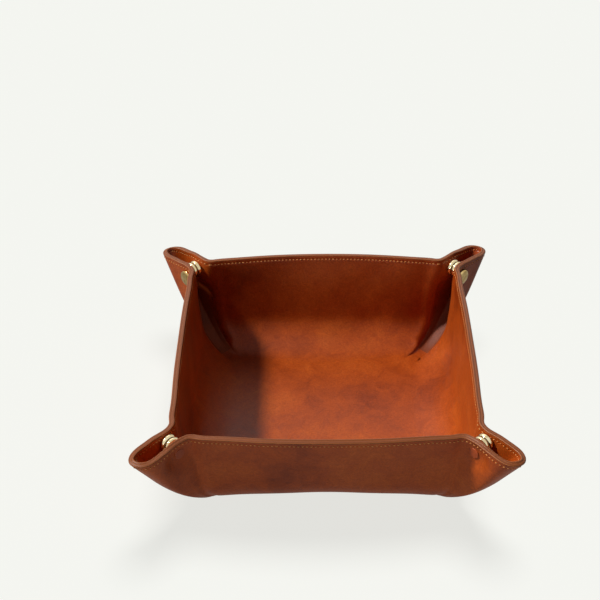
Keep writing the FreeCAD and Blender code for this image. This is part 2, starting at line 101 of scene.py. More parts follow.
# Feet of the ear's rulings and the two radii of the fold above them, from the bend to the tip
earFeet = {
    "bend": (-48.2, -54.2, 34.0, 22.0), "throatStart": (-50.0, -55.2, 33.0, 26.0),
    "throatEnd": (-52.0, -56.4, 31.0, 42.0), "earStart": (-53.6, -57.3, 29.5, 62.0),
    "round": ((-54.9, -57.9, 28.5, 82.0), (-56.0, -58.1, 28.0, 100.0),
              (-56.7, -57.9, 28.0, 111.0), (-57.3, -57.3, 28.0, 117.0)),
}


# Smooth step from 0 to 1: 3 s^2 - 2 s^3
def ease(share):
    share = np.clip(share, 0.0, 1.0)
    return share * share * (3.0 - 2.0 * share)


# The leather's outer face, as rulings from a foot line round the base to the rim. A station of
# the ear lies at a reach along the corner's diagonal and half the ear's width aside of it.
def earStation(reach, half, foot):
    share = (reach - shape["throatStart"]) / (shape["earTip"] - shape["throatStart"])
    height = shape["cornerHeight"] - (shape["cornerHeight"] - shape["tipHeight"]) * share * share
    return (-(reach - half) / root2, -(reach + half) / root2, height) + foot


# Stations of the rim with their feet and radii: a bowed wall, its bend, then the ear's round tip
def rimStations(wall):
    rimMid, inward = shape["rimMid"][wall], shape["shoulderIn"][wall]
    throatHalf, earHalf = shape["throatHalf"][wall], shape["earHalf"][wall]
    rows = []
    inset = (shape["rimMid"]["front"] - rimMid) * 0.5
    for share in (0.0, 0.54, 0.87, 1.0):
        bow = share * share
        rows.append((
            -share * shape["shoulderAlong"],
            -rimMid + (rimMid - shape["rimShoulder"] + inward) * bow,
            shape["rimHeight"] - (shape["rimHeight"] - shape["cornerHeight"]) * bow,
            -share * shape["footAlong"],
            -shape["floorHalf"] + (shape["footBow"][wall] + inset) * (1.0 - bow),
        ) + shape["wallRadii"])
    bend = (-shape["bendAlong"], inward - shape["bendReach"], shape["cornerHeight"])
    rows.append(bend + earFeet["bend"])
    rows.append(earStation(shape["throatStart"], throatHalf, earFeet["throatStart"]))
    rows.append(earStation(shape["throatEnd"], throatHalf, earFeet["throatEnd"]))
    rows.append(earStation(shape["earStart"], earHalf, earFeet["earStart"]))
    for turn, foot in zip((0.0, 35.0, 65.0, 90.0), earFeet["round"]):
        angle = math.radians(turn)
        reach = shape["earRound"] + (shape["earTip"] - shape["earRound"]) * math.sin(angle)
        rows.append(earStation(reach, earHalf * math.cos(angle), foot))
    return np.array(rows)


# A clamped cubic spline: slopes from the usual band of equations, then one cubic for each gap
class Spline:
    def __init__(self, marks, rows, firstSlope, lastSlope):
        self.marks, self.rows = marks, rows
        count = len(marks)
        gap = np.diff(marks)
        system = np.zeros((count, count))
        right = np.zeros(rows.shape)
        system[0, 0] = system[-1, -1] = 1.0
        right[0], right[-1] = firstSlope, lastSlope
        rise = np.diff(rows, axis=0) / gap[:, None]
        for k in range(1, count - 1):
            system[k, k - 1] = gap[k]
            system[k, k] = 2.0 * (gap[k - 1] + gap[k])
            system[k, k + 1] = gap[k - 1]
            right[k] = 3.0 * (gap[k] * rise[k - 1] + gap[k - 1] * rise[k])
        self.slopes = np.linalg.solve(system, right)

    def __call__(self, u):
        u = np.clip(np.asarray(u, float), 0.0, 1.0)
        k = np.clip(np.searchsorted(self.marks, u, side="right") - 1, 0, len(self.marks) - 2)
        gap = (self.marks[k + 1] - self.marks[k])[..., None]
        t = (u - self.marks[k])[..., None] / gap
        a, b = self.rows[k], self.rows[k + 1]
        m, n = self.slopes[k] * gap, self.slopes[k + 1] * gap
        return ((2 * t**3 - 3 * t**2 + 1) * a + (t**3 - 2 * t**2 + t) * m
                + (3 * t**2 - 2 * t**3) * b + (t**3 - t**2) * n)


# Half a wall with its ear: u runs from the wall's middle (0) to the tip (1), v from foot to rim
class HalfWall:
    def __init__(self, wall):
        rows = rimStations(wall)
        self.pinchDepth = pinch["depth"][wall]
        chord = np.r_[0.0, np.cumsum(np.linalg.norm(np.diff(rows[:, :3], axis=0), axis=1))]
        self.total = chord[-1]
        marks = chord / self.total
        first, last = np.zeros(7), np.zeros(7)
        first[0] = (rows[1, 0] - rows[0, 0]) / marks[1]
        first[3] = (rows[1, 3] - rows[0, 3]) / marks[1]
        last[0], last[1] = -self.total / root2, self.total / root2
        turn = shape["tipFootTurn"] / (1.0 - marks[-2])
        last[3], last[4] = -turn / root2, turn / root2
        self.spline = Spline(marks, rows, first, last)
        self.wallEnd = marks[4] + shape["bendPast"] / self.total

    # Foot, direction and fold of one ruling: a wide arc up to the split angle, a second arc
    # until the tangent meets the rim, then a straight run
    def ruling(self, u):
        q = self.spline(u)
        foot, wide, tight = q[..., 3:5], q[..., 5], q[..., 6]
        run = q[..., :2] - foot
        reach = np.linalg.norm(run, axis=-1)
        split = math.radians(shape["wallSplit"])
        aside = (wide - tight) * math.sin(split)
        above = (wide - tight) * (1.0 - math.cos(split))
        rise = q[..., 2] - above - tight
        span = np.hypot(reach - aside, rise)
        sweep = np.arctan2(rise, reach - aside) + np.arcsin(np.clip(tight / span, 0.0, 1.0))
        straight = np.sqrt(np.maximum(span**2 - tight**2, 0.0))
        return foot, run / reach[..., None], wide, tight, split, sweep, straight

    # Length of the arcs, and of the whole ruling
    def length(self, u):
        wide, tight, split, sweep, straight = self.ruling(u)[2:]
        arc = wide * split + tight * (sweep - split)
        return arc, arc + straight

    # Place on the outer face: v of the ruling's length, pulled in by a soft dimple at the stud
    def point(self, u, v):
        foot, way, wide, tight, split, sweep = self.ruling(u)[:6]
        arc, whole = self.length(u)
        run = v * whole
        first = np.minimum(run / wide, split)
        second = np.clip(split + (run - wide * split) / tight, split, sweep)
        rest = np.maximum(run - arc, 0.0)
        across = (wide * np.sin(first) + tight * (np.sin(second) - math.sin(split))
                  + rest * np.cos(sweep))
        up = (wide * (1.0 - np.cos(first)) + tight * (math.cos(split) - np.cos(second))
              + rest * np.sin(sweep))
        x, y = foot[..., 0] + way[..., 0] * across, foot[..., 1] + way[..., 1] * across
        away = np.hypot(-(x + y) / root2 - pinch["reach"], up - pinch["height"])
        pull = self.pinchDepth * np.exp(-(away / pinch["spread"]) ** 3) / root2
        return np.stack([x - pull, y + pull, up], axis=-1)

    # Outward normal: cross product of two central differences
    def normal(self, u, v):
        step = 0.0002
        along = self.point(np.clip(u + step, 0, 1), v) - self.point(np.clip(u - step, 0, 1), v)
        up = self.point(u, np.clip(v + step, 0, 1)) - self.point(u, np.clip(v - step, 0, 1))
        out = np.cross(up, along)
        return out / np.linalg.norm(out, axis=-1, keepdims=True)

    # The outer face moved in by a depth, less of it where the folded corner presses the leather
    def layerPoint(self, u, v, depth):
        squeeze = (ease((u - gutter["start"]) / gutter["ramp"])
                   * ease((v - gutter["low"]) / gutter["lowRamp"])
                   * ease((gutter["high"] - v) / gutter["highRamp"]))
        thinned = depth * (1.0 - gutter["thinning"] * squeeze)
        return self.point(u, v) - self.normal(u, v) * thinned[..., None]

    # The v where the base's curled border ends: on a rounded square round the base
    def baseEdge(self, u):
        foot, way, wide = self.ruling(u)[:3]
        side = (shape["hingeLine"] + foot[..., 1]) / -way[..., 1]
        centre = shape["hingeLine"] - shape["hingeRound"]
        arm = foot + centre
        along = (arm * way).sum(-1)
        corner = np.maximum(along**2 - (arm**2).sum(-1) + shape["hingeRound"]**2, 0.0)
        across = np.where(foot[..., 0] + way[..., 0] * side < -centre, np.sqrt(corner) - along, side)
        return wide * np.arcsin(np.clip(across / wide, 0, 1)) / self.length(u)[1]


# Soft unevenness of real leather: a smooth field of small moves along the outward normal, three
# crossed sine waves that fade out above the floor and below the rim
def softness(points):
    x, y, z = points[..., 0], points[..., 1], points[..., 2]
    wave = (0.30 * np.sin(x / 17.0 + 0.6) * np.sin(y / 21.0 + 1.1)
            + 0.16 * np.sin(x / 7.3 + y / 9.7 + 0.4) + 0.10 * np.sin(x / 5.1 - y / 4.3 + z / 6.0))
    low = ease((z - unevenness["low"]) / unevenness["lowRamp"])
    high = ease((unevenness["high"] - z) / unevenness["highRamp"])
    return wave * low * high * unevenness["amount"]


# Section over the rim, from the outer face to the lining: rows of depth, drop and edge colour.
# A quarter round, a flat crown, the glue line's groove, and the same mirrored.
def rimProfile(thick):
    turn = np.radians([0.0, 18.0, 36.0, 54.0, 72.0, 90.0])
    middle = thick / 2.0
    outer = np.stack([rim["fillet"] * (1.0 - np.cos(turn)), rim["fillet"] * (1.0 - np.sin(turn)),
                      turn / turn[-1]], axis=1)
    crown = [(middle - rim["crownHalf"], 0.0, 1.0), (middle - rim["seamHalf"], rim["crownDrop"], 0.8)]
    outer = np.concatenate([outer, crown])
    inner = outer[::-1] * np.array([-1.0, 1.0, 1.0]) + np.array([thick, 0.0, 0.0])
    return np.concatenate([outer, [(middle, rim["seamDrop"], 0.0)], inner])


# Section loops: up the outer face, over the rim and down the lining, for each u. Every loop has
# even rows up to the seam, a round groove for the stitches, and the rim's profile.
def sheetSection(half, us, lows, rows):
    length = half.length(us)[1][:, None]
    low = lows[:, None]
    marks = np.array([1.6, 1.1, 0.8, 0.5, 0.25, 0.0, -0.25, -0.5, -0.8, -1.2])
    top = 1.0 - (stitch["drop"] + stitch["grooveBelow"]) / length
    face = np.concatenate([low + (top - low) * np.linspace(0.0, 1.0, rows),
                           1.0 - (stitch["drop"] + marks) / length], axis=1)
    sunk = stitch["groove"] * np.sqrt(np.maximum(0.0, 1.0 - (marks / stitch["grooveHalf"]) ** 2))
    dip = np.concatenate([np.zeros(rows), sunk])
    depth, drop, edge = rimProfile(shape["thick"]).T
    vs = np.concatenate([face, 1.0 - drop / length, face[:, ::-1]], axis=1)
    depths = np.concatenate([dip, depth, shape["thick"] - dip[::-1]])
    edges = np.concatenate([dip * 0.0, edge, dip * 0.0])
    return (np.broadcast_to(us[:, None], vs.shape), vs, np.broadcast_to(depths, vs.shape),
            np.broadcast_to(edges, vs.shape))


# Quads of a grid of columns and rows, its last row joined to the first
def loopFaces(columns, rows):
    column = np.arange(columns - 1)[:, None] * rows
    row = np.arange(rows)[None, :]
    here, above = column + row, column + (row + 1) % rows
    return np.stack([here, above, above + rows, here + rows], axis=-1).reshape(-1, 4).tolist()


# A smooth mesh object from points in millimetres, faces and masks by name
def newObject(name, points, faces, **masks):
    data = bpy.data.meshes.new(name)
    data.from_pydata((points * metre).tolist(), [], faces)
    data.polygons.foreach_set("use_smooth", [True] * len(data.polygons))
    for maskName, values in masks.items():
        mask = data.attributes.new(maskName, "FLOAT", "POINT")
        mask.data.foreach_set("value", np.asarray(values, np.float32))
    data.update()
    item = bpy.data.objects.new(name, data)
    bpy.context.scene.collection.objects.link(item)
    return item


turns = {"front": 0, "right": 90, "back": 180, "left": 270}
neighbours = {"front": ("left", "right"), "right": ("front", "back"),
              "back": ("right", "left"), "left": ("back", "front")}


# The front wall's points turned about the z axis to another wall
def turned(points, wall):
    angle = math.radians(turns[wall])
    c, s = round(math.cos(angle)), round(math.sin(angle))
    return np.asarray(points) @ np.array([[c, s, 0], [-s, c, 0], [0, 0, 1]], float)


# A place in the sheet, moved along the outward normal by the leather's softness
def wrap(half, us, vs, depths):
    place = half.layerPoint(us, vs, depths)
    return place + half.normal(us, vs) * softness(place)[..., None]


# Normals of the section loops: cross product of the grid's differences along and around
def smoothNormals(points):
    across = np.cross(np.gradient(points, axis=1), np.gradient(points, axis=0))
    length = np.linalg.norm(across, axis=-1, keepdims=True)
    return across / np.maximum(length, 1e-9)


# Exact normals of the outer face along the foot, so that the base runs on smoothly
def footNormals(half, us, lows, mirror):
    out = half.normal(us, lows)
    if mirror == 2:
        return np.concatenate([out[1:][::-1] * mirrored, out])
    return out[::-1] * mirrored if mirror == 1 else out


# A strip of the sheet between two marks of u: section loops side by side, with both ends closed.
# Mirror 0 is the left half, 1 the right half and 2 the whole wall. Spare columns past the ends
# give the normals there. The tip's normals are laid flat against the ear's middle plane.
def leatherPiece(name, half, first, last, columns, rows, mirror, wall):
    step = (last - first) / (columns - 1)
    spare = 2
    before = spare if first > 0.01 else 0
    after = spare if last < 0.99 else 0
    marks = np.clip(first + step * np.arange(-before, columns + after), 0.0, 1.0)
    lows = half.baseEdge(marks)
    us, vs, depths, edges = sheetSection(half, marks, lows, rows)
    points = wrap(half, us, vs, depths)
    # Painted shade: a mask for darkening the lining in the folded corners' gutters
    shade = ease((us - shadeZone["start"]) / shadeZone["ramp"])
    shade = shade * ease((shadeZone["high"] - vs) / shadeZone["highRamp"])
    shade = shade * (depths > shape["thick"] / 2)
    if mirror == 2:
        points = np.concatenate([points[1:][::-1] * mirrored, points])
        edges = np.concatenate([edges[1:][::-1], edges])
        shade = np.concatenate([shade[1:][::-1], shade])
        before = after
    elif mirror == 1:
        points, edges, shade = points[::-1] * mirrored, edges[::-1], shade[::-1]
        before, after = after, before
    normals = smoothNormals(points)
    foot = footNormals(half, marks, lows, mirror)
    normals[:, 0], normals[:, -1] = foot, -foot
    if mirror != 2 and last > 0.99:
        tip = 0 if mirror == 1 else -1
        plane = np.array([1.0 if mirror == 1 else -1.0, 1.0, 0.0]) / root2
        flat = normals[tip] - (normals[tip] @ plane)[:, None] * plane
        normals[tip] = flat / np.linalg.norm(flat, axis=1, keepdims=True)
    keep = slice(before, len(points) - after)
    points, normals, edges, shade = points[keep], normals[keep], edges[keep], shade[keep]
    count, loop = points.shape[:2]
    ends = [list(range(loop))[::-1], list(range((count - 1) * loop, count * loop))]
    item = newObject(name, turned(points.reshape(-1, 3), wall), loopFaces(count, loop) + ends,
                     cutEdge=edges.reshape(-1), valley=shade.reshape(-1))
    item.data.normals_split_custom_set_from_vertices(turned(normals.reshape(-1, 3), wall).tolist())
    return item


halves = {wall: HalfWall(wall) for wall in shape["rimMid"]}


# Small helpers for node trees: each adds one node, and all but the first give back its output
def rampOf(tree, where, stops):
    node = tree.nodes.new("ShaderNodeValToRGB")
    node.location = where
    ramp = node.color_ramp
    while len(ramp.elements) < len(stops):
        ramp.elements.new(0.5)
    for element, (place, colour) in zip(ramp.elements, stops):
        element.position = place
        element.color = tuple(colour) + (1.0,)
    return node


def mixColour(tree, where, blend, factor, a, b):
    node = tree.nodes.new("ShaderNodeMix")
    node.data_type = "RGBA"
    node.blend_type = blend
    node.location = where
    for socket, value in ((node.inputs[0], factor), (node.inputs[6], a), (node.inputs[7], b)):
        if isinstance(value, bpy.types.NodeSocket):
            tree.links.new(value, socket)
        elif isinstance(value, tuple):
            socket.default_value = value + (1.0,)
        else:
            socket.default_value = value
    return node.outputs[2]


def mathNode(tree, where, operation, a, b=0.0):
    node = tree.nodes.new("ShaderNodeMath")
    node.operation = operation
    node.location = where
    for socket, value in ((node.inputs[0], a), (node.inputs[1], b)):
        if isinstance(value, bpy.types.NodeSocket):
            tree.links.new(value, socket)
        else:
            socket.default_value = value
    return node.outputs[0]


def noise(tree, where, coords, scale, octaves=4.0, rough=0.5, distort=0.0):
    node = tree.nodes.new("ShaderNodeTexNoise")
    node.location = where
    node.inputs["Scale"].default_value = scale
    node.inputs["Detail"].default_value = octaves
    node.inputs["Roughness"].default_value = rough
    node.inputs["Distortion"].default_value = distort
    tree.links.new(coords, node.inputs["Vector"])
    return node.outputs["Fac"]


# Leather colours; the valley colour is painted shade for the corners' gutters
leather = {
    "deep": (0.25, 0.036, 0.0030), "mid": (0.40, 0.067, 0.0062), "light": (0.50, 0.100, 0.0110),
    "edge": (0.19, 0.048, 0.011), "edgeDark": (0.08, 0.018, 0.004), "edgeToneAndHighlight": (0.38, 0.115, 0.030),
    "valley": (0.055, 0.018, 0.008), "valleyShade": 0.5, "roughness": 0.40, "specular": 0.27,
    "grain": 0.34, "grainDepth": 0.00035,
}
grain = {"broad": 16.0, "patchy": 70.0, "crease": 190.0, "fine": 1100.0, "cells": 1250.0}


# Height and masks: soft creases that run together, small cells between them and fine pores
def grainGroup():
    group = bpy.data.node_groups.new("leatherGrain", "ShaderNodeTree")
    group.interface.new_socket("Coordinates", in_out="INPUT", socket_type="NodeSocketVector")
    group.interface.new_socket("Height", in_out="OUTPUT", socket_type="NodeSocketFloat")
    group.interface.new_socket("Mottle", in_out="OUTPUT", socket_type="NodeSocketFloat")
    group.interface.new_socket("Speckle", in_out="OUTPUT", socket_type="NodeSocketFloat")
    start = group.nodes.new("NodeGroupInput")
    end = group.nodes.new("NodeGroupOutput")
    start.location, end.location = (-1400, 0), (200, 0)
    coords = start.outputs[0]
    broad = noise(group, (-1100, 400), coords, grain["broad"], 2.0, 0.5, 0.5)
    patchy = noise(group, (-1100, 200), coords, grain["patchy"], 5.0, 0.62, 0.9)
    crease = noise(group, (-1100, 0), coords, grain["crease"], 6.0, 0.68, 2.6)
    fine = noise(group, (-1100, -200), coords, grain["fine"], 4.0, 0.6)
    cells = group.nodes.new("ShaderNodeTexVoronoi")
    cells.location = (-1100, -400)
    cells.feature = "DISTANCE_TO_EDGE"
    cells.inputs["Scale"].default_value = grain["cells"]
    group.links.new(coords, cells.inputs["Vector"])
    pebble = mathNode(group, (-800, -400), "MULTIPLY", cells.outputs["Distance"], 0.4)
    creased = mathNode(group, (-800, 0), "MULTIPLY", crease, 1.1)
    height = mathNode(group, (-500, -100), "ADD", creased, pebble)
    wide = mathNode(group, (-800, 400), "MULTIPLY", broad, 0.62)
    narrow = mathNode(group, (-800, 200), "MULTIPLY", patchy, 0.38)
    mottle = mathNode(group, (-500, 300), "ADD", wide, narrow)
    furrow = mathNode(group, (-500, 100), "MULTIPLY", crease, 0.5)
    pore = mathNode(group, (-500, -250), "MULTIPLY", fine, 0.5)
    speckle = mathNode(group, (-300, 100), "ADD", furrow, pore)
    for output, value in zip(end.inputs, (height, mottle, speckle)):
        group.links.new(value, output)
    return group


# Leather: mottled colour with flecks, painted shade in the corners' valleys, layered along the cut
# edge with a partly painted highlight
def leatherMaterial():
    material = bpy.data.materials.new("cognacLeather")
    material.use_nodes = True
    tree = material.node_tree
    shader = tree.nodes["Principled BSDF"]
    where = tree.nodes.new("ShaderNodeTexCoord")
    where.location = (-1600, 0)
    coords = where.outputs["Object"]
    surface = tree.nodes.new("ShaderNodeGroup")
    surface.node_tree = grainGroup()
    surface.location = (-1300, 100)
    tree.links.new(coords, surface.inputs[0])
    tone = rampOf(tree, (-900, 400), [(0.36, leather["deep"]), (0.5, leather["mid"]),
                                      (0.66, leather["light"])])
    tree.links.new(surface.outputs["Mottle"], tone.inputs[0])
    fleck = rampOf(tree, (-900, 120), [(0.36, (0.70, 0.66, 0.62)), (0.62, (1.06, 1.06, 1.06))])
    tree.links.new(surface.outputs["Speckle"], fleck.inputs[0])
    speckled = mixColour(tree, (-600, 300), "MULTIPLY", 1.0, tone.outputs[0], fleck.outputs[0])
    # Painted shade: a dark colour mixed into the lining by the gutter mask
    valley = tree.nodes.new("ShaderNodeAttribute")
    valley.attribute_name = "valley"
    valley.location = (-900, 700)
    shade = mathNode(tree, (-700, 700), "MULTIPLY", valley.outputs["Fac"], leather["valleyShade"])
    speckled = mixColour(tree, (-450, 400), "MIX", shade, speckled, leather["valley"])
    edge = tree.nodes.new("ShaderNodeAttribute")
    edge.attribute_name = "cutEdge"
    edge.location = (-900, -120)
    # Cut edge: its own dark and mid tones, and a lighter band on the rounded corners that is partly
    # the edge's own tone and partly painted highlight
    edgeTone = rampOf(tree, (-700, -120), [(0.16, leather["edgeDark"]), (0.42, leather["edgeToneAndHighlight"]),
                                           (0.68, leather["edge"])])
    layer = mathNode(tree, (-1000, -220), "MULTIPLY", edge.outputs["Fac"], 0.6)
    spots = mathNode(tree, (-1000, -380), "MULTIPLY", surface.outputs["Speckle"], 0.25)
    layered = mathNode(tree, (-900, -300), "ADD", layer, spots)
    tree.links.new(layered, edgeTone.inputs[0])
    edgeMask = mathNode(tree, (-700, -400), "GREATER_THAN", edge.outputs["Fac"], 0.02)
    colour = mixColour(tree, (-300, 200), "MIX", edgeMask, speckled, edgeTone.outputs[0])
    tree.links.new(colour, shader.inputs["Base Color"])
    rough = mathNode(tree, (-500, -60), "MULTIPLY_ADD", surface.outputs["Mottle"], 0.25)
    tree.nodes[-1].inputs[2].default_value = leather["roughness"] - 0.125
    dull = mathNode(tree, (-500, 500), "MULTIPLY", shade, 0.4)
    rough = mathNode(tree, (-350, -60), "ADD", rough, dull)
    tree.links.new(rough, shader.inputs["Roughness"])
    shader.inputs["Specular IOR Level"].default_value = leather["specular"]
    bump = tree.nodes.new("ShaderNodeBump")
    bump.location = (-560, -600)
    bump.inputs["Strength"].default_value = leather["grain"]
    bump.inputs["Distance"].default_value = leather["grainDepth"]
    tree.links.new(surface.outputs["Height"], bump.inputs["Height"])
    tree.links.new(bump.outputs[0], shader.inputs["Normal"])
    return material


threadLooks = {"dark": (0.55, 0.19, 0.045), "light": (0.90, 0.42, 0.13), "roughness": 0.55,
               "twist": 2600.0, "bump": 0.4, "bumpDepth": 0.0001}


# Waxed thread: fine noise for its twist, in colour and bump
def threadMaterial():
    material = bpy.data.materials.new("waxedThread")
    material.use_nodes = True
    tree = material.node_tree
    shader = tree.nodes["Principled BSDF"]
    where = tree.nodes.new("ShaderNodeTexCoord")
    twist = noise(tree, (-700, 0), where.outputs["Object"], threadLooks["twist"], 2.0, 0.5)
    tone = rampOf(tree, (-450, 0), [(0.3, threadLooks["dark"]), (0.7, threadLooks["light"])])
    tree.links.new(twist, tone.inputs[0])
    tree.links.new(tone.outputs[0], shader.inputs["Base Color"])
    shader.inputs["Roughness"].default_value = threadLooks["roughness"]
    bump = tree.nodes.new("ShaderNodeBump")
    bump.inputs["Strength"].default_value = threadLooks["bump"]
    bump.inputs["Distance"].default_value = threadLooks["bumpDepth"]
    tree.links.new(twist, bump.inputs["Height"])
    tree.links.new(bump.outputs[0], shader.inputs["Normal"])
    return material


# Dark and light tone, roughness and metallic share of each
metals = {
    "brass": ((0.50, 0.32, 0.11), (0.78, 0.56, 0.26), 0.22, 1.0),
    "paleBrass": ((0.64, 0.49, 0.25), (0.90, 0.78, 0.53), 0.16, 1.0),
    "brownLacquer": ((0.30, 0.048, 0.005), (0.38, 0.062, 0.008), 0.45, 0.0),
    "springSteel": ((0.45, 0.45, 0.46), (0.6, 0.6, 0.62), 0.3, 1.0),
}


# Worn metal or lacquer: one noise for tone and roughness
def metalMaterial(name, dark, light, roughness, metallic):
    material = bpy.data.materials.new(name)
    material.use_nodes = True
    tree = material.node_tree
    shader = tree.nodes["Principled BSDF"]
    where = tree.nodes.new("ShaderNodeTexCoord")
    wear = noise(tree, (-700, 0), where.outputs["Object"], 420.0, 5.0, 0.6, 0.4)
    tone = rampOf(tree, (-450, 0), [(0.35, dark), (0.65, light)])
    tree.links.new(wear, tone.inputs[0])
    tree.links.new(tone.outputs[0], shader.inputs["Base Color"])
    shader.inputs["Metallic"].default_value = metallic
    rough = mathNode(tree, (-450, -250), "MULTIPLY_ADD", wear, 0.16)
    tree.nodes[-1].inputs[2].default_value = roughness - 0.08
    tree.links.new(rough, shader.inputs["Roughness"])
    return material


leatherLook = leatherMaterial()
threadLook = threadMaterial()
metalLooks = {name: metalMaterial(name, *values) for name, values in metals.items()}


# Gives a piece one material
def dress(item, material):
    item.data.materials.clear()
    item.data.materials.append(material)


# Leather pieces: walls and ears
for wall in turns:
    half = halves[wall]
    item = leatherPiece(wall + "WallLeather", half, 0.0, half.wallEnd,
                        detail["wallColumns"], detail["wallRows"], 2, wall)
    dress(item, leatherLook)
    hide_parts(wall + "_wall_outer", wall + "_wall_lining")
    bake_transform(item)
    for mirror, side in enumerate(neighbours[wall]):
        body = "%s_wall_%s_ear" % (wall, side)
        item = leatherPiece(wall + "Wall" + side.capitalize() + "EarLeather", half, half.wallEnd,
                            1.0, detail["earColumns"], detail["earRows"], mirror, wall)
        dress(item, leatherLook)
        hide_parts(body + "_outer", body + "_lining")
        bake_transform(item)
print("leather walls and ears done")


# Base: the flat floor and the curled border up to the hinge lines. The border is the half walls'
# own surface below their lowest rows, with the same marks, so that the edges meet.
def baseSheet():
    rows = detail["baseRows"]
    rings = []
    for wall in turns:
        half = halves[wall]
        marks = np.r_[np.linspace(0.0, half.wallEnd, detail["wallColumns"]),
                      np.linspace(half.wallEnd, 1.0, detail["earColumns"])[1:]]
        us = np.repeat(marks[:, None], rows, 1)
        vs = half.baseEdge(marks)[:, None] * np.linspace(0.0, 1.0, rows)
        sheet = np.stack([wrap(half, us, vs, 0.0 * us), wrap(half, us, vs, 0.0 * us + shape["thick"]),
                          half.normal(us, vs)])
        for side in (sheet[:, ::-1][:, :-1], sheet[:, :-1] * mirrored):
            rings.append(turned(side, wall))
    return np.concatenate(rings, axis=1)


# The closed base: level rings from the middle to the foot line, then the border, on both faces
def closeRing(outer, inner, normals):
    count = len(outer)
    shares = np.linspace(0.0, 1.0, detail["floorRings"] + 1)[1:-1, None]
    flat = np.array([1.0, 1.0, 0.0])
    outerFace = np.concatenate([outer[:, :1] * flat * shares, outer], axis=1)
    level = np.array([0.0, 0.0, shape["thick"]])
    innerFace = np.concatenate([inner[:, :1] * flat * shares + level, inner], axis=1)
    rows = outerFace.shape[1]
    points = np.concatenate([outerFace.reshape(-1, 3), innerFace.reshape(-1, 3), [[0, 0, 0]], [level]])
    lining = count * rows
    bottom, top = 2 * lining, 2 * lining + 1
    here = np.arange(count)[:, None] * rows
    after = np.roll(here, -1, axis=0)
    row = np.arange(rows - 1)[None, :]
    below = np.stack([after + row, after + row + 1, here + row + 1, here + row], axis=-1)
    above = lining + below[..., [2, 1, 0, 3]]
    last = rows - 1
    edge = np.concatenate([after + last, lining + after + last,
                           lining + here + last, here + last], axis=1)
    under = np.concatenate([after, here, 0 * here + bottom], axis=1)
    over = np.concatenate([lining + here, lining + after, 0 * here + top], axis=1)
    faces = below.reshape(-1, 4).tolist() + above.reshape(-1, 4).tolist() + edge.tolist()
    faces += under.tolist() + over.tolist()
    down = np.zeros((count, detail["floorRings"] - 1, 3)) + np.array([0.0, 0.0, -1.0])
    facing = np.concatenate([down, normals], axis=1).reshape(-1, 3)
    return points, faces, np.concatenate([facing, -facing, [[0.0, 0.0, -1.0], [0.0, 0.0, 1.0]]])


points, faces, normals = closeRing(*baseSheet())
item = newObject("baseLeather", points, faces, cutEdge=np.zeros(len(points)))
item.data.normals_split_custom_set_from_vertices(normals.tolist())
dress(item, leatherLook)
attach(item, "base")
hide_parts("base_outer", "base_lining")
print("base done")


# Stitches: short rounded lengths of thread on both faces. Along each one a flattened ring swells
# from the ends to the middle, and its middle line lies on the sheet and dips in at both ends.
thread = {"around": 8, "along": 7, "lift": 0.10, "dive": 0.34, "endKeep": 0.8}


# Points and faces of a wall's or an ear's stitches between two marks of u, on one side or both
def stitchMesh(half, first, last, sides, wall):
    fine = np.linspace(0.0, 1.0, 2001)
    line = half.point(fine, 1.0 - stitch["drop"] / half.length(fine)[1])
    runs = np.r_[0.0, np.cumsum(np.linalg.norm(np.diff(line, axis=0), axis=1))]
    marks = np.arange(stitch["pitch"] / 2, runs[-1] - thread["endKeep"], stitch["pitch"])
    places = np.interp(marks, runs, fine)
    marks = marks[(places >= first) & (places < last)]
    around, along = thread["around"], thread["along"]
    start = np.interp(marks - stitch["length"] / 2, runs, fine)[:, None]
    end = np.interp(marks + stitch["length"] / 2, runs, fine)[:, None]
    us = start + (end - start) * np.linspace(0.0, 1.0, along)
    vs = 1.0 - stitch["drop"] / half.length(us)[1]
    t = np.abs(np.linspace(-1.0, 1.0, along))[:, None, None]
    swell = np.sqrt(np.maximum(1.0 - t ** 3.2, 0.0)) * 0.94 + 0.06
    lift = thread["lift"] - thread["dive"] * t ** 3
    angle = (2.0 * math.pi * np.arange(around) / around)[:, None]
    high = lift + np.sin(angle) * stitch["thick"] / 2 * swell
    wide = np.cos(angle) * stitch["width"] / 2 * swell
    tubes = []
    for depth, sign in ((0.0, 1.0), (shape["thick"], -1.0)):
        out = half.normal(us, vs)
        middle = half.layerPoint(us, vs, 0.0 * us + depth)
        middle = middle + out * softness(middle)[..., None]
        out = out * sign
        ahead = np.gradient(middle, axis=1)
        ahead = ahead / np.linalg.norm(ahead, axis=-1, keepdims=True)
        aside = np.cross(ahead, out)
        tubes.append(middle[:, :, None] + out[:, :, None] * high + aside[:, :, None] * wide)
    tube = np.stack(tubes, axis=1).reshape(-1, 3)
    size = around * along
    ring = np.arange(around)
    rows = np.arange(along - 1)[:, None] * around
    here, beside = (rows + ring).reshape(-1), (rows + np.roll(ring, -1)).reshape(-1)
    quads = np.stack([here, here + around, beside + around, beside], axis=-1)
    caps = np.stack([ring, size - 1 - ring])
    starts = (np.arange(len(tube) // size) * size)[:, None, None]
    points, faces = [], []
    for mirror in sides:
        offset = starts + len(tube) * len(points)
        points.append(tube * mirrored if mirror else tube)
        order = -1 if mirror else 1
        faces += (offset + quads)[..., ::order].reshape(-1, 4).tolist()
        faces += (offset + caps)[..., ::order].reshape(-1, around).tolist()
    return turned(np.concatenate(points), wall), faces


# Turns all faces of a closed piece outward
def outwardFaces(item):
    work = bmesh.new()
    work.from_mesh(item.data)
    bmesh.ops.recalc_face_normals(work, faces=work.faces)
    work.to_mesh(item.data)
    work.free()


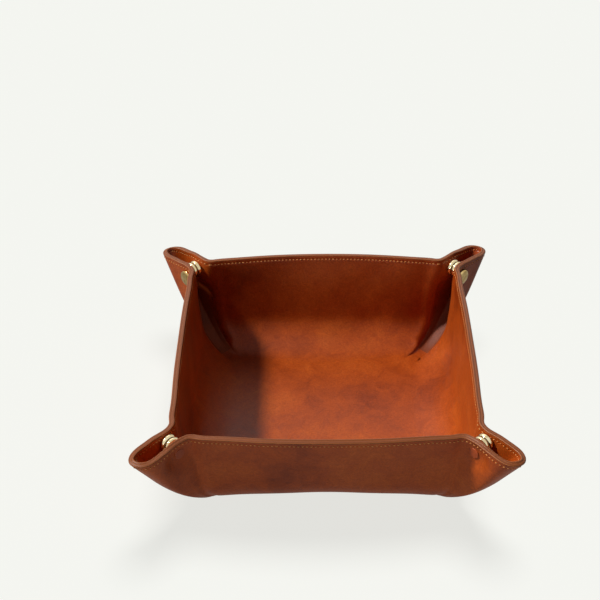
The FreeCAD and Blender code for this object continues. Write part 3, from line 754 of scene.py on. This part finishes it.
for wall in turns:
    half = halves[wall]
    points, faces = stitchMesh(half, 0.0, half.wallEnd, (0, 1), wall)
    item = newObject(wall + "WallStitches", points, faces)
    outwardFaces(item)
    dress(item, threadLook)
    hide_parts(wall + "_wall_stitching")
    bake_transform(item)
    for mirror, side in enumerate(neighbours[wall]):
        body = "%s_wall_%s_ear" % (wall, side)
        points, faces = stitchMesh(half, half.wallEnd, 1.0, (mirror,), wall)
        item = newObject(wall + "Wall" + side.capitalize() + "EarStitches", points, faces)
        outwardFaces(item)
        dress(item, threadLook)
        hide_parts(body + "_stitching")
        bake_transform(item)
print("stitches done")


# Press studs: reach and height of the outer and inner pieces' centres, angle of a sharp edge
snap = {"outside": (111.7, 48.0), "inside": (112.6, 51.0), "sharp": 38.0}


# A profile of radius and height turned about the stud's axis: each row is a circle of points
def lathe(name, profile, corner, place, segments=48):
    sideways, backward = corner
    centre = np.array([sideways * place[0] / root2, backward * place[0] / root2, place[1]])
    axis = np.array([sideways, -backward, 0.0]) / root2
    first = np.array([0.0, 0.0, 1.0])
    second = np.cross(axis, first)
    radius, along = np.array(profile).T[:, :, None, None]
    angle = (2.0 * math.pi * np.arange(segments) / segments)[:, None]
    points = centre + axis * along + radius * (first * np.cos(angle) + second * np.sin(angle))
    rows = len(profile)
    ends = [list(range(segments))[::-1], list(range((rows - 1) * segments, rows * segments))]
    item = newObject(name, points.reshape(-1, 3), loopFaces(rows, segments) + ends)
    outwardFaces(item)
    item.data.set_sharp_from_angle(angle=math.radians(snap["sharp"]))
    return item


# Rows of a profile along an arc, angles in degrees
def arcRows(centreR, centreH, radius, start, end, count):
    turn = [math.radians(a) for a in np.linspace(start, end, count)]
    return [(centreR + radius * math.cos(a), centreH + radius * math.sin(a)) for a in turn]


# Profiles of the four pieces: rows of radius and height
capRows = [(1.6, 2.3), (1.6, 6.4), (4.7, 6.4)] + arcRows(4.7, 6.75, 0.35, -90, 0, 5)
capRows += [(5.05 * math.cos(a), 6.8 + 1.4 * math.sin(a)) for a in np.linspace(0.12, 1.5, 12)]
capRows += [(0.05, 8.2)]
bowl = np.linspace(0.0, math.pi / 2, 8)
socketRows = [(1.75, 2.9)] + [(3.6 + 1.4 * math.sin(a), 1.6 + 1.3 * math.cos(a)) for a in bowl]
socketRows += [(4.85, 0.8), (4.4, 0.3), (2.3, 0.25), (2.3, 0.6), (2.7, 0.6), (2.7, 1.8), (1.75, 1.8)]
studRows = [(0.05, -2.9)] + [(3.6 + 1.4 * math.sin(a), -1.6 - 1.3 * math.cos(a)) for a in bowl]
studRows += [(4.85, -0.8), (4.4, -0.3), (1.8, -0.25), (1.7, 0.1), (1.9, 0.5), (1.85, 1.0)]
studRows += [(1.5, 1.6), (0.05, 1.7)]
postRows = [(0.05, -6.3), (2.6, -6.25)] + arcRows(2.7, -6.0, 0.25, -90, 0, 5)
postRows += [(3.05, -5.8), (1.6, -5.8), (1.6, -2.9), (0.05, -2.9)]

snapLooks = {"cap": "brass", "socket": "paleBrass", "stud": "paleBrass", "post": "brownLacquer"}
corners = {"front_left": (-1, -1), "front_right": (1, -1), "back_right": (1, 1), "back_left": (-1, 1)}
for corner, signs in corners.items():
    back, side = corner.split("_")
    camel = back + side.capitalize()
    socketBody = "%s_wall_%s_ear" % (side, back)
    studBody = "%s_wall_%s_ear" % (back, side)
    for kind, rows, body in (("cap", capRows, socketBody), ("socket", socketRows, socketBody),
                             ("stud", studRows, studBody), ("post", postRows, studBody)):
        place = snap["outside"] if kind in ("cap", "post") else snap["inside"]
        item = lathe(camel + kind.capitalize(), rows, signs, place)
        dress(item, metalLooks[snapLooks[kind]])
        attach(item, body)
        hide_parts("%s_snap_%s" % (corner, kind))
    spring = frame["nodes"][corner + "_snap_spring"]
    spring.data.materials.clear()
    spring.data.materials.append(metalLooks["springSteel"])
print("press studs done")


# Stage, light and camera
paper = {"colour": (0.913, 0.922, 0.880), "glow": 0.815, "shadow": 0.20, "mirrored": 0.06,
         "bounced": 0.32}
studio = {"dim": 0.025, "mirrored": 0.95}
lamps = {
    "keyLight": {"toward": (0.63, -0.08, -0.777), "strength": 3.6, "soft": 8.0,
                 "colour": (1.0, 0.96, 0.90)},
    "frontLight": {"toward": (0.40, 0.92, -0.02), "strength": 0.72, "soft": 16.0,
                   "colour": (1.0, 0.98, 0.96)},
    "backLight": {"toward": (0.15, -0.70, -0.70), "strength": 0.42, "soft": 45.0,
                  "colour": (1.0, 0.98, 0.96)},
    "floorLight": {"toward": (-0.10, -0.36, -1.0), "strength": 2.9, "soft": 28.0,
                   "colour": (1.0, 1.0, 1.0)},
}


# Paper that mostly glows by itself, so that shadows on it stay faint
def floorMaterial():
    material = bpy.data.materials.new("paleFloor")
    material.use_nodes = True
    shader = material.node_tree.nodes["Principled BSDF"]
    dim = [c * paper["shadow"] for c in paper["colour"]]
    shader.inputs["Base Color"].default_value = tuple(dim) + (1.0,)
    shader.inputs["Emission Color"].default_value = paper["colour"] + (1.0,)
    tree = material.node_tree
    rays = tree.nodes.new("ShaderNodeLightPath")
    glossy = mathNode(tree, (-500, 0), "MULTIPLY", rays.outputs["Is Glossy Ray"], paper["mirrored"])
    seen = mathNode(tree, (-300, 0), "MAXIMUM", rays.outputs["Is Camera Ray"], glossy)
    share = mathNode(tree, (-150, 0), "MAXIMUM", seen, paper["bounced"])
    glow = mathNode(tree, (0, 0), "MULTIPLY", share, paper["glow"])
    tree.links.new(glow, shader.inputs["Emission Strength"])
    shader.inputs["Roughness"].default_value = 1.0
    shader.inputs["Specular IOR Level"].default_value = 0.0
    return material


bpy.ops.mesh.primitive_plane_add(size=8.0, location=(0, 0, -0.0002))
floor = bpy.context.object
floor.name = "paleFloor"
floor.data.materials.append(floorMaterial())

world = bpy.data.worlds.new("studio")
bpy.context.scene.world = world
world.use_nodes = True
tree = world.node_tree
background = tree.nodes["Background"]
background.inputs["Color"].default_value = paper["colour"] + (1.0,)
rays = tree.nodes.new("ShaderNodeLightPath")
glossy = mathNode(tree, (-500, -100), "MULTIPLY", rays.outputs["Is Glossy Ray"], studio["mirrored"])
seen = mathNode(tree, (-300, 0), "MAXIMUM", rays.outputs["Is Camera Ray"], glossy)
strength = mathNode(tree, (-150, 0), "MAXIMUM", seen, studio["dim"])
tree.links.new(strength, background.inputs["Strength"])


# A far lamp; it lights only the receivers, but everything casts its shadow
def sunLight(name, toward, strength, soft, colour, receivers):
    data = bpy.data.lights.new(name, "SUN")
    data.energy = strength
    data.angle = math.radians(soft)
    data.color = colour
    light = bpy.data.objects.new(name, data)
    light.rotation_mode = "QUATERNION"
    light.rotation_quaternion = Vector(toward).to_track_quat("-Z", "Y")
    bpy.context.scene.collection.objects.link(light)
    light.light_linking.receiver_collection = receivers


floorGroup = bpy.data.collections.new("floorLit")
floorGroup.objects.link(floor)
trayGroup = bpy.data.collections.new("trayLit")
for item in bpy.context.scene.objects:
    if item.type == "MESH" and item is not floor:
        trayGroup.objects.link(item)

for name, lamp in lamps.items():
    sunLight(name, **lamp, receivers=floorGroup if name == "floorLight" else trayGroup)
print("stage and light done")

# Focal length in pixels of the photo's width, sizes in millimetres and angles in degrees
view = {"focal": 1311.0, "photoWidth": 600.0, "sensor": 36.0, "distance": 762.9, "elevation": 35.5,
        "yaw": -0.87, "roll": 0.74, "aside": -13.8, "over": 69.0}


# The camera looks along the elevation, shifted aside and up, then rolled and turned about z
def placeCamera():
    elevation, yaw, roll = [math.radians(view[k]) for k in ("elevation", "yaw", "roll")]
    right = np.array([1.0, 0.0, 0.0])
    ahead = np.array([0.0, math.cos(elevation), -math.sin(elevation)])
    up = np.array([0.0, math.sin(elevation), math.cos(elevation)])
    place = view["aside"] * right + view["over"] * up - view["distance"] * ahead
    right, up = (right * math.cos(roll) - up * math.sin(roll),
                 right * math.sin(roll) + up * math.cos(roll))
    c, s = math.cos(-yaw), math.sin(-yaw)
    spin = np.array([[c, -s, 0.0], [s, c, 0.0], [0.0, 0.0, 1.0]])
    place, right, up, ahead = [spin @ v for v in (place, right, up, ahead)]
    data = bpy.data.cameras.new("photoCamera")
    data.sensor_width = view["sensor"]
    data.lens = view["focal"] / view["photoWidth"] * view["sensor"]
    data.clip_start, data.clip_end = 0.05, 20.0
    camera = bpy.data.objects.new("photoCamera", data)
    bpy.context.scene.collection.objects.link(camera)
    matrix = Matrix.Identity(4)
    for k in range(3):
        matrix[k][0], matrix[k][1], matrix[k][2] = right[k], up[k], -ahead[k]
        matrix[k][3] = place[k] * metre
    camera.matrix_world = matrix
    bpy.context.scene.camera = camera


placeCamera()
bpy.context.scene.view_settings.view_transform = "Standard"
